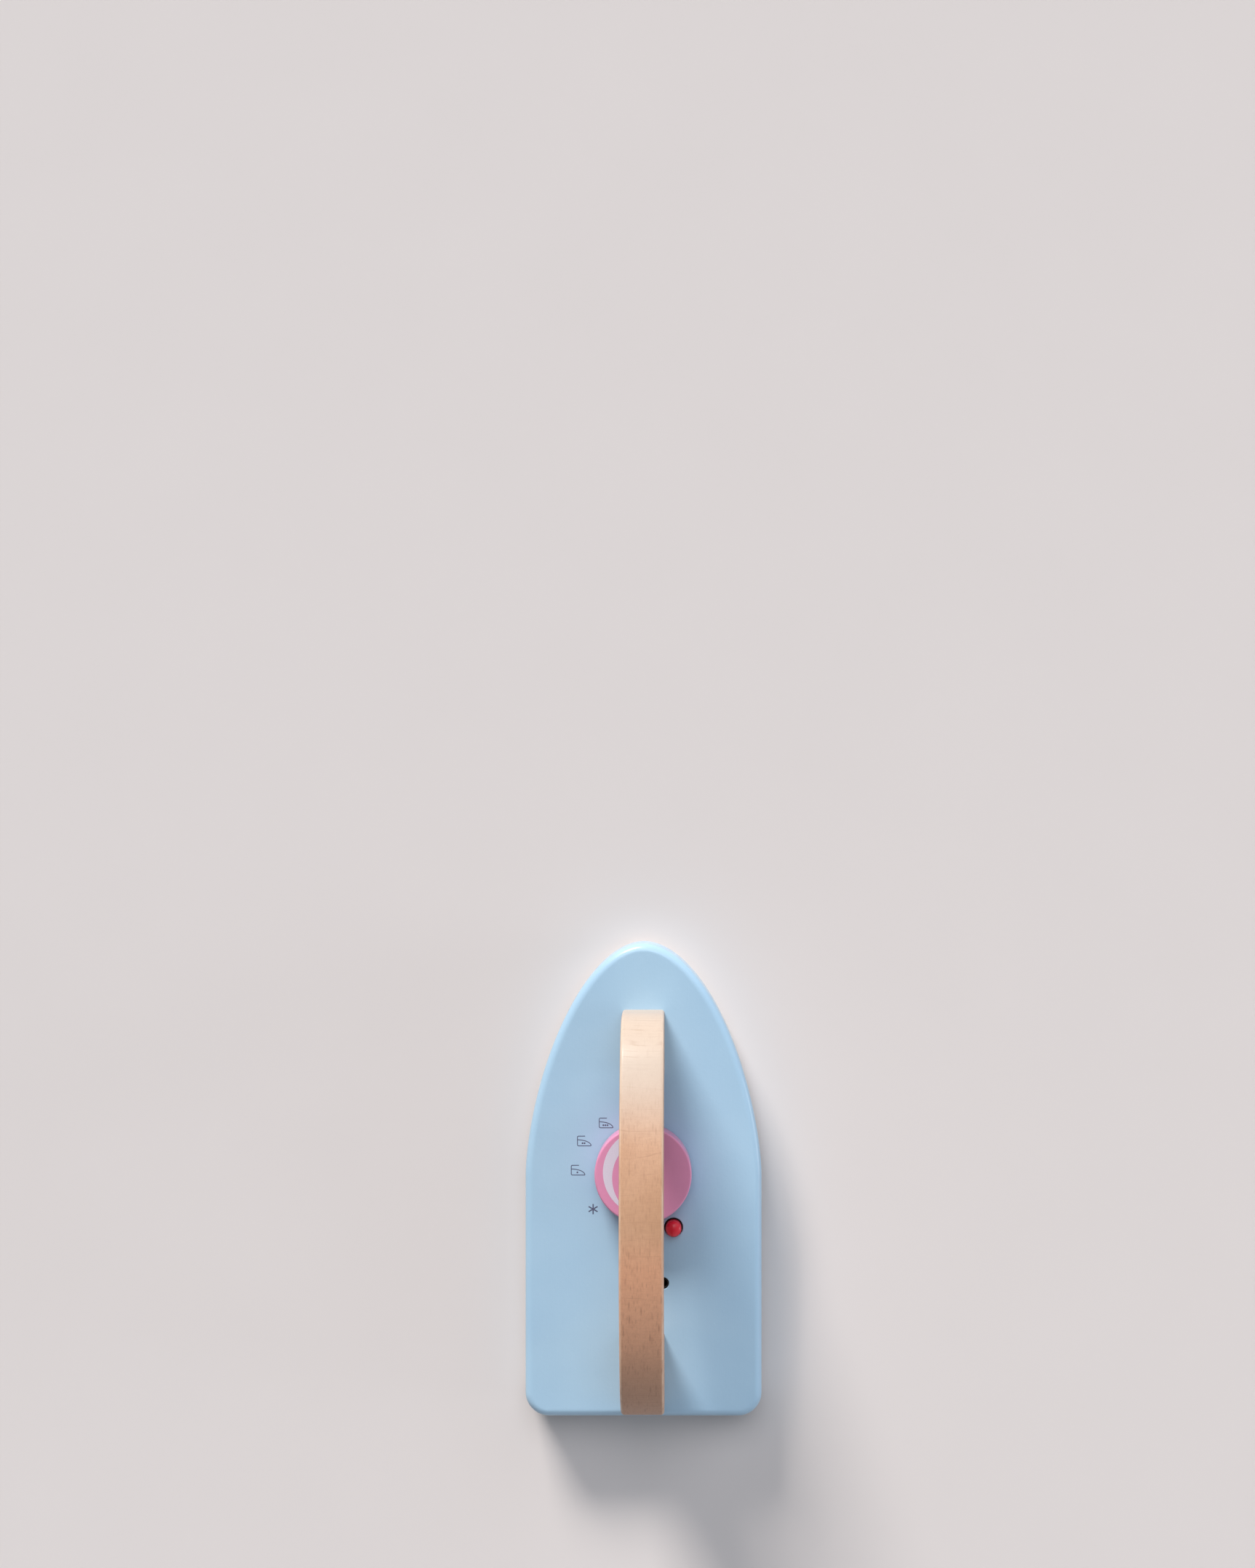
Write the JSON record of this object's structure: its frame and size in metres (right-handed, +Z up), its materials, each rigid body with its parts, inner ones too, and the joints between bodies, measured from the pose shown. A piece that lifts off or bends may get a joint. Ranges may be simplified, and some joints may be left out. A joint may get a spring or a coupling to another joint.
{
  "type": "toy iron",
  "caption": "Pretend-play wooden iron: pointed painted block on a sole plate, arched beech handle, turning round dial and a sprung push button.",
  "frame": {"origin": "centre of the sole plate's underside, where the iron stands", "axes": "+Y towards the nose, +Z up, +X to the right of someone who looks along the iron towards its nose"},
  "size_m": [0.09, 0.18, 0.075],
  "materials": {
    "blue_paint": "satin paint on wood, light blue",
    "grey_paint": "satin paint on wood, pale grey",
    "beech": "sanded beech, thin matt lacquer",
    "dowel_beech": "raw beech",
    "pink_paint": "satin paint on wood, pink",
    "red_paint": "gloss paint on wood, red",
    "black_plastic": "matt moulded plastic, black",
    "felt": "pressed felt",
    "steel": "zinc plated"
  },
  "bodies": {
    "iron": {"body": "blue_paint", "sole_plate": "grey_paint", "sole_screws": "steel", "handle": "beech", "handle_dowels": "dowel_beech", "handle_screws": "steel", "handle_screw_washers": "steel", "dial_felt": "felt", "button_sleeve": "black_plastic", "button_spring": "steel", "vent_eyelet": "black_plastic"},
    "dial": {"dial": "pink_paint", "dial_axle": "dowel_beech", "retainer_washer": "steel", "retainer_screw": "steel"},
    "button": {"button": "red_paint"}
  },
  "joints": [
    {"name": "dial_turn", "type": "hinge", "parent": "iron", "child": "dial", "pos_m": [0, 0.004, 0.0209], "axis": [0, 0, 1], "continuous": true},
    {"name": "button_press", "type": "slide", "parent": "iron", "child": "button", "axis": [0, 0, -1], "range_m": [0, 0.0025], "stiffness_N_per_m": 400, "springref_m": -0.002, "deforming": ["button_spring"]}
  ]
}
